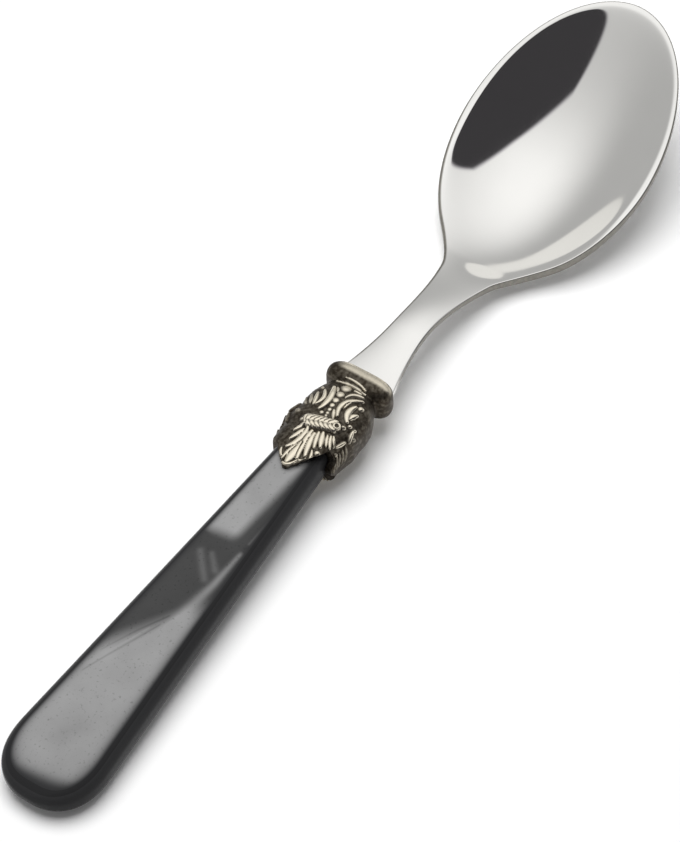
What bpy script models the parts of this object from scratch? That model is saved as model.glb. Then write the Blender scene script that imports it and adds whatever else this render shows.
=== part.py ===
"""Coffee spoon: a steel bowl and tang, a cast ornamental collar and a resin handle, bonded with cement.

Units are metres, +Z up. The pieces are modelled along the handle's axis: u runs from the butt of the
handle to the tip of the bowl, y to the left and h up from that axis. An empty then lays the spoon on
the plane Z = 0, on the underside of the handle and the belly of the bowl, with the bowl towards +X and
the middle of its box over the origin.
"""

import math

import bmesh
import bpy
from mathutils import Matrix, Vector

MM = 0.001

# Handle: a soft-edged tapering bar with a round butt and a flat underside
HANDLE_LENGTH = 64.0 * MM
HANDLE_BUTT_WIDTH = 15.3 * MM
HANDLE_FRONT_WIDTH = 6.9 * MM
HANDLE_BUTT_THICK = 6.4 * MM
HANDLE_FRONT_THICK = 6.15 * MM
HANDLE_UNDERSIDE_CUT = 0.13 * MM
BUTT_ROUND_LENGTH = 9.2 * MM
BUTT_EDGE_LENGTH = 12.0 * MM
SPIGOT_LENGTH = 6.0 * MM
SPIGOT_WIDTH = 5.8 * MM
SPIGOT_THICK = 5.4 * MM
BORE_DIAMETER = 4.2 * MM
BORE_DEPTH = 44.0 * MM
DRILL_POINT_LENGTH = 1.2 * MM

# Collar, from its front face back to the tips of its leaves
COLLAR_WIDTH = 10.1 * MM
COLLAR_THICK = 6.4 * MM
COLLAR_LENGTH = 2.7 * MM
COLLAR_EDGE = 0.5 * MM
COLLAR_WALL = 4.3 * MM
CHAMBER_LENGTH = 4.0 * MM
WAIST_WIDTH = 7.8 * MM
WAIST_THICK = 6.0 * MM
WAIST_LENGTH = 1.0 * MM
BULB_WIDTH = 10.1 * MM
BULB_THICK = 8.1 * MM
BULB_LENGTH = 5.6 * MM
CROSSBAR_RISE = 0.25 * MM
CROSSBAR_LENGTH = 3.4 * MM
LEAF_THICK = 1.0 * MM
LEAF_TIP_THICK = 0.6 * MM
TOP_LEAF_LENGTH = 5.8 * MM
SIDE_LEAF_LENGTH = 2.0 * MM
TOP_LEAF_SPAN = math.radians(50)
SIDE_LEAF_SPAN = math.radians(32)

# Steel blank: tang, neck and bowl, stamped from one bar
TANG_LENGTH = 46.0 * MM
TANG_WIDTH = 2.8 * MM
TANG_THICK = 1.8 * MM
TANG_EDGE_THICK = 1.2 * MM
NOTCH_COUNT = 3
NOTCH_DEPTH = 0.45 * MM
NOTCH_LENGTH = 2.0 * MM
NECK_ROOT_WIDTH = 8.9 * MM
NECK_WIDTH = 5.2 * MM
NECK_HEEL_WIDTH = 9.9 * MM
NECK_LENGTH = 28.0 * MM
NECK_WAIST_AT = 13.1 * MM
NECK_FLARE_LENGTH = 16.0 * MM
NECK_THICK = 2.2 * MM
NECK_CROWN = 0.35 * MM
NECK_DROP = 3.8 * MM
NECK_DROP_LENGTH = 19.5 * MM
NECK_SET_DOWN = 0.25 * MM
BOWL_LENGTH = 44.8 * MM
BOWL_WIDTH = 30.5 * MM
BOWL_WIDEST_FROM_TIP = 22.6 * MM
BOWL_DEPTH = 6.2 * MM
BOWL_HOLLOW_RUN = 3.0 * MM
BOWL_TIP_RISE = 8.9 * MM
BOWL_TIP_SLOPE = 0.31
BOWL_THICK = 1.1 * MM
RIM_THICK = 0.9 * MM

# The bond line that every glued joint keeps
BOND_GAP = 0.15 * MM

# Smoothness of the faceted solids
HANDLE_SIDES = 32
COLLAR_SIDES = 64
BLANK_COLUMNS = 12
CEMENT_SIDES = 2 * (BLANK_COLUMNS + 1)
BUTT_STEPS = 10
NECK_STEPS = 14
HEEL_STEPS = 14
TIP_STEPS = 22
SOFT_CORNER = 3.2
COLLAR_CORNER = 3.6
ROUND_CORNER = 2.0
BUTT_PLAN_CORNER = 2.3
BUTT_SIDE_CORNER = 2.5
BOWL_PLAN_CORNER = 1.92
OUTLINE_BLEND = 6.0

# Places along the handle's axis
BORE_END = HANDLE_LENGTH + SPIGOT_LENGTH - BORE_DEPTH
SPIGOT_END = HANDLE_LENGTH + SPIGOT_LENGTH
CHAMBER_END = SPIGOT_END + CHAMBER_LENGTH
COLLAR_FRONT = CHAMBER_END + COLLAR_WALL
NECK_ROOT = COLLAR_FRONT + BOND_GAP
NECK_WAIST = NECK_ROOT + NECK_WAIST_AT
TANG_END = NECK_ROOT - TANG_LENGTH
BOWL_HEEL = NECK_ROOT + NECK_LENGTH
BOWL_TIP = BOWL_HEEL + BOWL_LENGTH
BOWL_WIDEST = BOWL_TIP - BOWL_WIDEST_FROM_TIP


def smoothstep(x, start, end):
    """0 before start, 1 after end, with an even S between them."""
    t = min(max((x - start) / (end - start), 0.0), 1.0)
    return t * t * (3 - 2 * t)


def lerp(a, b, t):
    return a + (b - a) * t


def rounding(distance, length, corner):
    """Share of the full size reached at a distance from a rounded end."""
    rest = min(max(1 - distance / length, 0.0), 1.0)
    return (1 - rest**corner) ** (1 / corner)


def rounded_section(u, width, thick, corner, sides):
    """A closed ring across the axis: a superellipse, from an ellipse at corner 2 towards a rectangle."""
    ring = []
    for side in range(sides):
        angle = 2 * math.pi * side / sides
        c, s = math.cos(angle), math.sin(angle)
        y = math.copysign(abs(c) ** (2 / corner), c) * width / 2
        h = math.copysign(abs(s) ** (2 / corner), s) * thick / 2
        ring.append(Vector((u, y, h)))
    return ring


def bar_section(u, width, edge_height, dish, thick, edge_thick):
    """A ring across the blank: over its upper face from left to right, and back below.

    dish is how far the middle of the upper face lies under its edges, and is negative for a crown.
    """
    ring = []
    for column in range(BLANK_COLUMNS + 1):
        q = math.cos(math.pi * column / BLANK_COLUMNS)
        ring.append(Vector((u, q * width / 2, edge_height + edge_thick / 2 - dish * (1 - q * q))))
    for top in reversed(ring[:]):
        share = 1 - (2 * top.y / width) ** 2
        ring.append(Vector((u, top.y, top.z - lerp(edge_thick, thick, share))))
    return ring


def loft(name, rings, material, closed=False):
    """A solid skinned over rings of equal count. A ring of one point is a pole, and closed joins last to first."""
    bm = bmesh.new()
    loops = [[bm.verts.new(point) for point in ring] for ring in rings]
    pairs = list(zip(loops, loops[1:]))
    if closed:
        pairs.append((loops[-1], loops[0]))
    for first, second in pairs:
        count = max(len(first), len(second))
        for i in range(count):
            j = (i + 1) % count
            corners = [first[i % len(first)], first[j % len(first)], second[j % len(second)], second[i % len(second)]]
            bm.faces.new(list(dict.fromkeys(corners)))
    bmesh.ops.recalc_face_normals(bm, faces=bm.faces)
    mesh = bpy.data.meshes.new(name)
    bm.to_mesh(mesh)
    bm.free()
    mesh.shade_smooth()
    mesh.set_sharp_from_angle(angle=math.radians(35))
    mesh.materials.append(material)
    return bpy.data.objects.new(name, mesh)


def finish(name, colour, roughness, metallic):
    material = bpy.data.materials.new(name)
    material.use_nodes = True
    shader = material.node_tree.nodes["Principled BSDF"]
    shader.inputs["Base Color"].default_value = (*colour, 1.0)
    shader.inputs["Roughness"].default_value = roughness
    shader.inputs["Metallic"].default_value = metallic
    return material


# Handle


def handle_width(u):
    taper = lerp(HANDLE_BUTT_WIDTH, HANDLE_FRONT_WIDTH, u / HANDLE_LENGTH)
    return taper * rounding(u, BUTT_ROUND_LENGTH, BUTT_PLAN_CORNER)


def handle_thick(u):
    taper = lerp(HANDLE_BUTT_THICK, HANDLE_FRONT_THICK, u / HANDLE_LENGTH)
    return taper * rounding(u, BUTT_EDGE_LENGTH, BUTT_SIDE_CORNER)


def handle_section(u, clearance, sides):
    """The handle's outside at u, grown by a clearance, with its underside cut flat."""
    floor = HANDLE_UNDERSIDE_CUT - lerp(HANDLE_BUTT_THICK, HANDLE_FRONT_THICK, u / HANDLE_LENGTH) / 2 - clearance
    ring = rounded_section(u, handle_width(u) + 2 * clearance, handle_thick(u) + 2 * clearance, SOFT_CORNER, sides)
    for point in ring:
        point.z = max(point.z, floor)
    return ring


def make_handle():
    """Resin handle: the tapering bar, the spigot that enters the collar, and the drilled bore for the tang."""
    rings = [[Vector((0, 0, 0))]]
    for step in range(1, BUTT_STEPS + 1):
        reach = 1 - math.cos(math.pi / 2 * step / BUTT_STEPS)
        rings.append(handle_section(BUTT_EDGE_LENGTH * reach, 0, HANDLE_SIDES))
    rings.append(handle_section(HANDLE_LENGTH / 2, 0, HANDLE_SIDES))
    rings.append(handle_section(HANDLE_LENGTH, 0, HANDLE_SIDES))
    for u in (HANDLE_LENGTH, SPIGOT_END):
        rings.append(rounded_section(u, SPIGOT_WIDTH, SPIGOT_THICK, SOFT_CORNER, HANDLE_SIDES))
    for u in (SPIGOT_END, BORE_END):
        rings.append(rounded_section(u, BORE_DIAMETER, BORE_DIAMETER, ROUND_CORNER, HANDLE_SIDES))
    rings.append([Vector((BORE_END - DRILL_POINT_LENGTH, 0, 0))])
    return loft("handle", rings, finish("black_pearl_resin", (0.035, 0.036, 0.04), 0.18, 0.0))


# Collar


def angle_from(angle, centre):
    return abs((angle - centre + math.pi) % (2 * math.pi) - math.pi)


def leaf_reach(angle):
    """How far the leaves run back over the handle from its shoulder, at an angle round the axis."""
    reach = 0.0
    for centre, span, length in (
        (math.pi / 2, TOP_LEAF_SPAN, TOP_LEAF_LENGTH),
        (-math.pi / 2, TOP_LEAF_SPAN, TOP_LEAF_LENGTH),
        (0.0, SIDE_LEAF_SPAN, SIDE_LEAF_LENGTH),
        (math.pi, SIDE_LEAF_SPAN, SIDE_LEAF_LENGTH),
    ):
        share = angle_from(angle, centre) / span
        if share < 1:
            reach = max(reach, length * math.sqrt(1 - share * share))
    return reach


def leaf_ring(share, inner):
    """A ring of the skirt, from the handle's shoulder at share 0 to the edge of the leaves at share 1."""
    ring = []
    proud = 0 if inner else lerp(LEAF_THICK, LEAF_TIP_THICK, share)
    for side in range(COLLAR_SIDES):
        u = HANDLE_LENGTH - share * leaf_reach(2 * math.pi * side / COLLAR_SIDES)
        ring.append(handle_section(u, BOND_GAP + proud, COLLAR_SIDES)[side])
    return ring


def make_collar():
    """Cast collar: front moulding, waist, bulb with a raised crossbar, and leaves that lap over the handle."""
    def outside(u, width, thick):
        return rounded_section(u, width, thick, COLLAR_CORNER, COLLAR_SIDES)

    def inside(u, width, thick, corner):
        return rounded_section(u, width + 2 * BOND_GAP, thick + 2 * BOND_GAP, corner, COLLAR_SIDES)

    moulding_back = COLLAR_FRONT - COLLAR_LENGTH
    waist = moulding_back - WAIST_LENGTH
    bulb = waist - BULB_LENGTH
    skirt_width = HANDLE_FRONT_WIDTH + 2 * (BOND_GAP + LEAF_THICK)
    skirt_thick = HANDLE_FRONT_THICK + 2 * (BOND_GAP + LEAF_THICK)
    rings = [
        outside(COLLAR_FRONT, COLLAR_WIDTH - 2 * COLLAR_EDGE, COLLAR_THICK - 2 * COLLAR_EDGE),
        outside(COLLAR_FRONT - COLLAR_EDGE, COLLAR_WIDTH, COLLAR_THICK),
        outside(moulding_back + COLLAR_EDGE, COLLAR_WIDTH, COLLAR_THICK),
        outside(moulding_back, COLLAR_WIDTH - 2 * COLLAR_EDGE, COLLAR_THICK - 2 * COLLAR_EDGE),
    ]
    for step in range(6):
        share = smoothstep(step / 5, 0, 0.7)
        u = lerp(waist, bulb, step / 5)
        rings.append(outside(u, lerp(WAIST_WIDTH, BULB_WIDTH, share), lerp(WAIST_THICK, BULB_THICK, share)))
    for along, rise in ((0.0, CROSSBAR_RISE), (0.6, CROSSBAR_RISE), (1.0, 0.0)):
        share = along * CROSSBAR_LENGTH / (bulb - HANDLE_LENGTH)
        width = lerp(BULB_WIDTH, skirt_width, share) + 2 * rise
        thick = lerp(BULB_THICK, skirt_thick, share) + 2 * rise
        rings.append(outside(bulb - along * CROSSBAR_LENGTH, width, thick))
    rings += [leaf_ring(step / 6, inner=False) for step in range(7)]
    rings += [leaf_ring(1 - step / 6, inner=True) for step in range(7)]
    rings += [
        handle_section(HANDLE_LENGTH + BOND_GAP, BOND_GAP, COLLAR_SIDES),
        inside(HANDLE_LENGTH + BOND_GAP, SPIGOT_WIDTH, SPIGOT_THICK, SOFT_CORNER),
        inside(CHAMBER_END, SPIGOT_WIDTH, SPIGOT_THICK, SOFT_CORNER),
        inside(CHAMBER_END, TANG_WIDTH, TANG_THICK, COLLAR_CORNER),
        inside(COLLAR_FRONT, TANG_WIDTH, TANG_THICK, COLLAR_CORNER),
    ]
    return loft("collar", rings, finish("antiqued_cast_alloy", (0.36, 0.32, 0.25), 0.35, 1.0), closed=True)


# Steel blank


def tang_stations():
    """(u, width) along the tang from its end to the neck, with notches cut in both edges to key the cement."""
    pitch = (SPIGOT_END - TANG_END) / (NOTCH_COUNT + 1)
    stations = [(TANG_END, TANG_WIDTH)]
    for notch in range(NOTCH_COUNT):
        middle = TANG_END + pitch * (notch + 1)
        for offset, cut in ((-0.5, 0), (-0.25, NOTCH_DEPTH), (0.25, NOTCH_DEPTH), (0.5, 0)):
            stations.append((middle + offset * NOTCH_LENGTH, TANG_WIDTH - 2 * cut))
    return stations


def tang_section(u, width, clearance):
    return bar_section(
        u,
        width + 2 * clearance,
        0,
        (TANG_EDGE_THICK - TANG_THICK) / 2,
        TANG_THICK + 2 * clearance,
        TANG_EDGE_THICK + 2 * clearance,
    )


def blank_width(u):
    """Plan width: a waisted neck that flares into an egg-shaped bowl."""
    if u < NECK_WAIST:
        neck = lerp(NECK_WIDTH, NECK_ROOT_WIDTH, ((NECK_WAIST - u) / NECK_WAIST_AT) ** 2)
    else:
        neck = lerp(NECK_WIDTH, NECK_HEEL_WIDTH, min((u - NECK_WAIST) / NECK_FLARE_LENGTH, 1) ** 2)
    half_length = BOWL_TIP - BOWL_WIDEST if u > BOWL_WIDEST else BOWL_WIDEST - BOWL_HEEL
    share = min(abs(u - BOWL_WIDEST) / half_length, 1)
    bowl = BOWL_WIDTH * (1 - share**BOWL_PLAN_CORNER) ** (1 / BOWL_PLAN_CORNER)
    if u > BOWL_WIDEST:
        return bowl
    return (neck**OUTLINE_BLEND + bowl**OUTLINE_BLEND) ** (1 / OUTLINE_BLEND)


def blank_edge_height(u):
    """Height of the blank's edge: level out of the collar, down to the heel, then up the rim to the tip."""
    heel = BOWL_HEEL + BOWL_HOLLOW_RUN / 2
    if u < heel:
        return -lerp(NECK_SET_DOWN, NECK_DROP, smoothstep(u, heel - NECK_DROP_LENGTH, heel))
    run = BOWL_TIP - heel
    t = (u - heel) / run
    rise = (NECK_DROP + BOWL_TIP_RISE) * t * t * (3 - 2 * t)
    return -NECK_DROP + rise + BOWL_TIP_SLOPE * run * (t**3 - t**2)


def blank_dish(u):
    """Depth of the hollow under the edges: a slight crown on the neck, a paraboloid in the bowl."""
    half_length = BOWL_TIP - BOWL_WIDEST if u > BOWL_WIDEST else BOWL_WIDEST - BOWL_HEEL + BOWL_HOLLOW_RUN
    hollow = BOWL_DEPTH * max(1 - ((u - BOWL_WIDEST) / half_length) ** 2, 0)
    return hollow - NECK_CROWN * (1 - smoothstep(u, NECK_WAIST, BOWL_HEEL))


def blank_section(u):
    thinning = smoothstep(u, NECK_WAIST, BOWL_HEEL + BOWL_HOLLOW_RUN)
    thick = lerp(NECK_THICK, BOWL_THICK, thinning)
    return bar_section(u, blank_width(u), blank_edge_height(u), blank_dish(u), thick, RIM_THICK)


def make_blank():
    """Steel blank: notched tang, shoulder against the collar, neck and bowl in one piece."""
    stations = tang_stations()
    rings = [[Vector((TANG_END, 0, 0))]]
    rings += [tang_section(u, width, 0) for u, width in stations]
    rings.append(tang_section(NECK_ROOT, TANG_WIDTH, 0))
    for step in range(NECK_STEPS + 1):
        rings.append(blank_section(lerp(NECK_ROOT, BOWL_HEEL, step / NECK_STEPS)))
    for step in range(1, HEEL_STEPS + 1):
        rings.append(blank_section(lerp(BOWL_HEEL, BOWL_WIDEST, step / HEEL_STEPS)))
    for step in range(1, TIP_STEPS):
        reach = math.sin(math.pi / 2 * step / TIP_STEPS)
        rings.append(blank_section(lerp(BOWL_WIDEST, BOWL_TIP, reach)))
    rings.append([Vector((BOWL_TIP, 0, blank_edge_height(BOWL_TIP)))])
    return loft("bowl_and_tang", rings, finish("polished_steel", (0.76, 0.76, 0.75), 0.08, 1.0))


# Cement


def make_cement():
    """Cured cement round the tang: a sleeve in the handle's bore and a plug in the collar's chamber."""
    def outside(u, width, thick, corner):
        return rounded_section(u, width - 2 * BOND_GAP, thick - 2 * BOND_GAP, corner, CEMENT_SIDES)

    rear = BORE_END + BOND_GAP
    rings = [[Vector((rear, 0, 0))]]
    for u in (rear, SPIGOT_END + BOND_GAP):
        rings.append(outside(u, BORE_DIAMETER, BORE_DIAMETER, ROUND_CORNER))
    for u in (SPIGOT_END + BOND_GAP, CHAMBER_END - BOND_GAP):
        rings.append(outside(u, SPIGOT_WIDTH, SPIGOT_THICK, SOFT_CORNER))
    rings.append(tang_section(CHAMBER_END - BOND_GAP, TANG_WIDTH, BOND_GAP))
    rings += [tang_section(u, width, BOND_GAP) for u, width in reversed(tang_stations()[1:])]
    rings.append(tang_section(TANG_END - BOND_GAP, TANG_WIDTH, BOND_GAP))
    rings.append([Vector((TANG_END - BOND_GAP, 0, 0))])
    return loft("tang_cement", rings, finish("cured_cement", (0.62, 0.58, 0.48), 0.6, 0.0))


# Assembly


def resting_tilt(handle, blank):
    """How far the handle's axis rises towards the bowl when the handle and the bowl both touch one plane."""
    def lowest(obj, tilt):
        return min(v.co.z * math.cos(tilt) + v.co.x * math.sin(tilt) for v in obj.data.vertices)

    low, high = math.radians(-30), math.radians(30)
    for _ in range(60):
        tilt = (low + high) / 2
        if lowest(blank, tilt) < lowest(handle, tilt):
            low = tilt
        else:
            high = tilt
    return tilt


def lay_down(parts, tilt):
    """Parents the parts to an empty that rests them on Z = 0 with the middle of their box over the origin."""
    turn = Matrix.Rotation(-tilt, 4, "Y")
    points = [turn @ v.co for part in parts for v in part.data.vertices]
    middle = [(min(p[axis] for p in points) + max(p[axis] for p in points)) / 2 for axis in (0, 1)]
    rest = bpy.data.objects.new("spoon_rest", None)
    rest.matrix_world = Matrix.Translation((-middle[0], -middle[1], -min(p.z for p in points))) @ turn
    for part in parts:
        part.parent = rest
    return rest


def main():
    for obj in list(bpy.data.objects):
        bpy.data.objects.remove(obj)
    collection = bpy.data.collections.new("coffee_spoon")
    bpy.context.scene.collection.children.link(collection)
    handle = make_handle()
    blank = make_blank()
    parts = [blank, make_collar(), handle, make_cement()]
    rest = lay_down(parts, resting_tilt(handle, blank))
    for obj in (rest, *parts):
        collection.objects.link(obj)


main()
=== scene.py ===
"""Coffee spoon: finished steel bowl, cast collar, pearl handle and cement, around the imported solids.

Local axes of the spoon: u runs from the butt of the handle to the tip of the bowl, y to the left and h up
from the handle's axis. REST lays those axes on the table as the solids lie. Lengths are metres.
"""

import math

import bmesh
import bpy
import numpy as np
from mathutils import Matrix, Vector


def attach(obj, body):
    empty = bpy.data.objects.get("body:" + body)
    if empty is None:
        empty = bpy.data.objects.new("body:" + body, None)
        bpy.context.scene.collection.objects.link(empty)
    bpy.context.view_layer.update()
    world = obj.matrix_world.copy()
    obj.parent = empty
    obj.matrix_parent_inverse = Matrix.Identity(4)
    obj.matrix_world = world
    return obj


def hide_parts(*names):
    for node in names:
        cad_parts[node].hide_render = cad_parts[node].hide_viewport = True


bl_info = {
    "name": "Coffee spoon",
    "version": (1, 0, 0),
    "blender": (4, 5, 0),
    "location": "View3D > Sidebar > Spoon",
    "description": "Builds the finished pieces of a coffee spoon around its packed solids",
    "category": "Object",
}

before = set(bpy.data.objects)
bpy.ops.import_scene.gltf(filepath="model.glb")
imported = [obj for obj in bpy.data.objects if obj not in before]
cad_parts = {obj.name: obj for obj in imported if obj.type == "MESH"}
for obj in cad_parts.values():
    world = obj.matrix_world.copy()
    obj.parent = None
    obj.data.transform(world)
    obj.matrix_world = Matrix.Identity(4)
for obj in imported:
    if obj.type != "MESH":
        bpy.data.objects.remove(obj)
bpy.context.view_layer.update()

MM = 0.001
REST_AT = (-0.0753206, 0.0, 0.0026812)
REST_TILT = math.radians(-2.7770591)
REST = Matrix.Translation(REST_AT) @ Matrix.Rotation(REST_TILT, 4, "Y")


def linear(hex_colour):
    """An sRGB hex colour as linear red, green and blue."""
    channels = [int(hex_colour[i : i + 2], 16) / 255 for i in (0, 2, 4)]
    return tuple(c / 12.92 if c <= 0.04045 else ((c + 0.055) / 1.055) ** 2.4 for c in channels)


def length(name, description, default):
    """A size in metres that a user may change."""
    return bpy.props.FloatProperty(
        name=name, description=description, default=default, unit="LENGTH", precision=5
    )


def colour(name, description, default):
    """A colour that a user may change, written as sRGB hex."""
    return bpy.props.FloatVectorProperty(
        name=name, description=description, default=linear(default), subtype="COLOR", size=3, min=0, max=1
    )


class SpoonBowlSettings(bpy.types.PropertyGroup):
    bowl_length: length("Bowl length", "From the heel of the bowl to its tip", 44.76 * MM)
    bowl_width: length("Bowl width", "Across the bowl at its widest", 30.5 * MM)
    bowl_depth: length("Bowl depth", "Of the hollow under the rim", 6.1 * MM)
    rim_land: length("Rim land", "Width of the rim between the hollow and the edge", 0.9 * MM)
    rim_edge: length("Rim edge", "Height of the bowl's rounded edge", 1.2 * MM)
    neck_length: length("Neck length", "From the collar to the heel of the bowl", 28.0 * MM)
    neck_width: length("Neck width", "Across the neck at its waist", 5.2 * MM)
    neck_edge: length("Neck edge", "Height of the neck's edge", 0.95 * MM)
    steel: colour("Steel", "Colour of the polished steel", "ecebe8")
    # The edge colour is also a painted dark reflection where the band is widened on the left by the heel
    edge: colour("Edge", "Colour of the trimmed edge, which is only tumbled", "98958d")


class SpoonCollarSettings(bpy.types.PropertyGroup):
    silver: colour("Rubbed silver", "Colour of the high parts, rubbed bright", "efe6d2")
    # The patina colour is also painted shade on the collar's steep places, its left and its far flanks
    patina: colour("Patina", "Colour of the hollows, left dark", "3d362d")


class SpoonHandleSettings(bpy.types.PropertyGroup):
    handle_length: length("Handle length", "From the butt to the shoulder under the collar", 64.0 * MM)
    butt_width: length("Butt width", "Across the handle at its butt, before rounding", 15.3 * MM)
    front_width: length("Front width", "Across the handle at its shoulder", 6.9 * MM)
    butt_thick: length("Butt thickness", "Of the handle at its butt", 6.4 * MM)
    front_thick: length("Front thickness", "Of the handle at its shoulder", 6.15 * MM)
    # The pearl colour carries a painted sheen: it shows only where the surface faces up or down
    pearl: colour("Pearl", "Colour of the pearl layer seen flat on", "979797")
    smoke: colour("Smoke", "Colour of the pearl layer where it dips", "444444")
    black: colour("Black", "Colour of the resin at the sides", "353536")


class SpoonCementSettings(bpy.types.PropertyGroup):
    cement: colour("Cement", "Colour of the cured cement", "cdb98c")


class SpoonStageSettings(bpy.types.PropertyGroup):
    floor: colour("Floor", "Colour of the pale floor", "f4f4f4")
    key_power: bpy.props.FloatProperty(
        name="Key light", description="Power of the soft key lamp", default=3.75, unit="POWER"
    )
    lens: length("Lens", "Focal length of the camera", 147.7 * MM)


# Places along the handle's axis
HANDLE_END = 64.0 * MM
SPIGOT_END = 70.0 * MM
CHAMBER_END = 74.0 * MM
COLLAR_FRONT = 78.3 * MM
NECK_ROOT = 78.45 * MM
TANG_END = 32.45 * MM
BORE_END = 26.0 * MM


def smoothstep(x, start, end):
    """A soft step from 0 at the start to 1 at the end."""
    t = np.clip((x - start) / (end - start), 0.0, 1.0)
    return t * t * (3 - 2 * t)


def lerp(a, b, t):
    """The value a share t of the way from a to b."""
    return a + (b - a) * t


def rounding(distance, run, corner):
    """Share of the full size reached at a distance from a rounded end."""
    rest = min(max(1 - distance / run, 0.0), 1.0)
    return (1 - rest**corner) ** (1 / corner)


def even_ring(left, right, rise, corner, quarters):
    """A closed superellipse across the axis, from its top by the right, evenly spread by quarters."""
    turn = np.linspace(0, np.pi / 2, 241)
    rising, falling = np.sin(turn) ** (2 / corner), np.abs(np.cos(turn)) ** (2 / corner)
    arcs = (
        (-right * rising, rise * falling),
        (-right * falling, -rise * rising),
        (left * rising, -rise * falling),
        (left * falling, rise * rising),
    )
    points = []
    for (y, h), count in zip(arcs, quarters):
        run = np.concatenate([[0], np.cumsum(np.hypot(np.diff(y), np.diff(h)))])
        stops = run[-1] * np.arange(count) / count
        points.append(np.stack([np.interp(stops, run, y), np.interp(stops, run, h)], 1))
    return np.concatenate(points)


def at(u, points):
    """Points across the axis, set at u."""
    return np.concatenate([np.full((len(points), 1), u), points], 1)


def tube(start, end, width, thick, corner, quarters):
    """Both end rings of a straight bar or hole."""
    ring = even_ring(width / 2, width / 2, thick / 2, corner, quarters)
    return [at(start, ring), at(end, ring)]


def off_path(u, s, path):
    """Distance from a path of points, and the width that the path has at its nearest place."""
    best, width = np.full(np.shape(u), np.inf), np.zeros(np.shape(u))
    for one, two in zip(path, path[1:] if len(path) > 1 else path):
        reach = two[:2] - one[:2]
        share = ((u - one[0]) * reach[0] + (s - one[1]) * reach[1]) / max(reach @ reach, 1e-12)
        share = np.clip(share, 0, 1)
        away = np.hypot(u - one[0] - share * reach[0], s - one[1] - share * reach[1])
        width = np.where(away < best, lerp(one[2], two[2], share), width)
        best = np.minimum(best, away)
    return best, width


def skin(name, rings, closed=False, sharp=35):
    """A solid skinned over rings of equal count.

    A ring of one point is a pole, and closed joins the last ring to the first.
    """
    points, loops = [], []
    for ring in rings:
        loops.append(list(range(len(points), len(points) + len(ring))))
        points.extend(map(tuple, ring))
    faces = []
    for first, second in zip(loops, loops[1:] + (loops[:1] if closed else [])):
        count = max(len(first), len(second))
        for i in range(count):
            j = (i + 1) % count
            corners = (
                first[i % len(first)],
                first[j % len(first)],
                second[j % len(second)],
                second[i % len(second)],
            )
            faces.append(list(dict.fromkeys(corners)))
    mesh = bpy.data.meshes.new(name)
    mesh.from_pydata(points, [], faces)
    bm = bmesh.new()
    bm.from_mesh(mesh)
    bmesh.ops.recalc_face_normals(bm, faces=bm.faces)
    bm.to_mesh(mesh)
    bm.free()
    mesh.shade_smooth()
    mesh.set_sharp_from_angle(angle=math.radians(sharp))
    return mesh


def place(context, name, mesh, material, node):
    """Lays a finished piece on the rest axes, in place of its solid."""
    mesh.transform(REST)
    mesh.materials.append(material)
    piece = bpy.data.objects.new(name, mesh)
    context.scene.collection.objects.link(piece)
    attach(piece, "root")
    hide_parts(node)


def mark(mesh, name, values):
    """Keeps one value per point of a mesh for its material."""
    mesh.attributes.new(name, "FLOAT", "POINT").data.foreach_set("value", np.asarray(values, np.float32))


def shade(tone, level=1.0):
    """A colour at a level of its brightness, as a socket takes it."""
    return (*[c * level for c in tone], 1)


def add(tree, kind, settings=None, links=None):
    """Adds a shader node of a kind.

    A setting goes to the input of that name or number, or else to the node's own property.
    A link comes from a node's first output, or from the one that is named with the node.
    """
    node = tree.nodes.new("ShaderNode" + kind)
    for key, value in (settings or {}).items():
        if isinstance(key, int) or key in node.inputs:
            node.inputs[key].default_value = value
        else:
            setattr(node, key, value)
    for key, source in (links or {}).items():
        giver, output = source if isinstance(source, tuple) else (source, 0)
        tree.links.new(giver.outputs[output], node.inputs[key])
    return node


# Settings that several nodes share: colours to mix, a soft change, and the range that a noise mostly has
COLOURS = {"data_type": "RGBA"}
SOFT = {"interpolation_type": "SMOOTHSTEP"}
NOISE = {"From Min": 0.3, "From Max": 0.7}


def two_shades(tone, level):
    """Settings for a mix from a darker shade of a colour to the colour itself."""
    return COLOURS | {6: shade(tone, level), 7: shade(tone)}


def new_material(name):
    """An empty material and its node tree."""
    material = bpy.data.materials.new(name)
    material.use_nodes = True
    material.node_tree.nodes.clear()
    return material, material.node_tree


def surface(tree, kind, settings, links):
    """Adds the shader that a material shows."""
    shader = add(tree, kind, settings, links)
    add(tree, "OutputMaterial", None, {"Surface": shader})


# Steel bowl, neck and tang


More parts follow.
